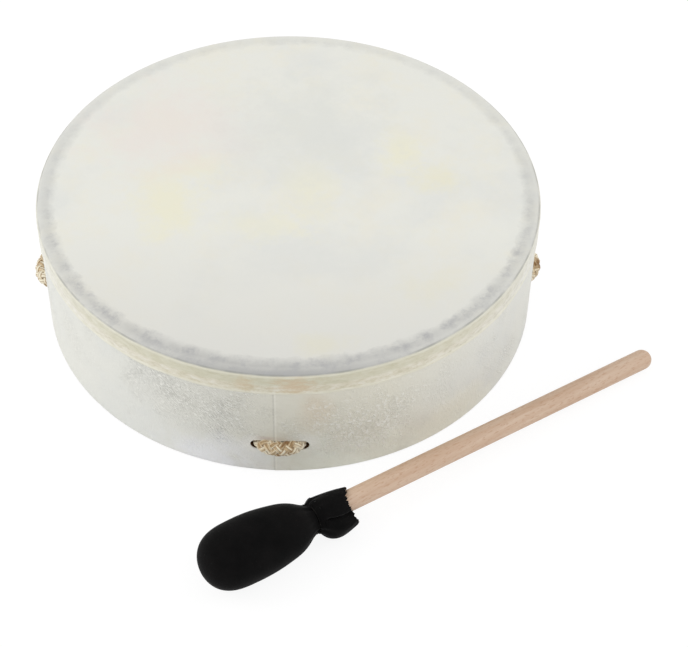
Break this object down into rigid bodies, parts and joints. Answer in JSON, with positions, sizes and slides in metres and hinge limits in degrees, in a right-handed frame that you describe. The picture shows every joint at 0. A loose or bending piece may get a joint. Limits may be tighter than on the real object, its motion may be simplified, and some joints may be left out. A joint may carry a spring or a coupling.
{
  "type": "frame drum with mallet",
  "caption": "Round single-headed hand drum with a wrapped shell and a crossed rope hand-hold through slots in its wall, with a padded mallet beside it.",
  "frame": {"origin": "centre of the drumhead's playing face, on the drum's axis", "axes": "+Z out of the playing face along the drum's axis; -Y towards the slot at the front, where the mallet lies; +X to the right of it"},
  "size_m": [0.4447, 0.4722, 0.097],
  "materials": {
    "drumhead_film": "translucent matte polyester film with a soft mottle",
    "shell_board": "bent wood-fibre board, dull brown",
    "wrap_sheet": "pale hide-like laminate sheet, satin, finely crumpled",
    "hoop_board": "greyish wood-fibre board",
    "rope": "braided natural fibre, matte",
    "lashing_cord": "laid natural fibre, matte",
    "beech": "sanded beech dowel, bare",
    "mallet_core": "firm foam rubber",
    "suede": "black suede, napped",
    "tie_cord": "waxed thread, grey"
  },
  "bodies": {
    "drum": {"drumhead": "drumhead_film", "shell": "shell_board", "shell_wrap": "wrap_sheet", "bearing_hoop": "hoop_board", "rope_front_back": "rope", "rope_left_right": "rope", "hub_lashing_inner": "lashing_cord", "hub_lashing_outer": "lashing_cord"},
    "mallet": {"mallet_handle": "beech", "mallet_core": "mallet_core", "mallet_cover": "suede", "mallet_tie": "tie_cord"}
  },
  "joints": [
    {"name": "mallet_lift", "type": "slide", "parent": "drum", "child": "mallet", "axis": [0, 0, 1], "range_m": [0, 0.2]}
  ]
}
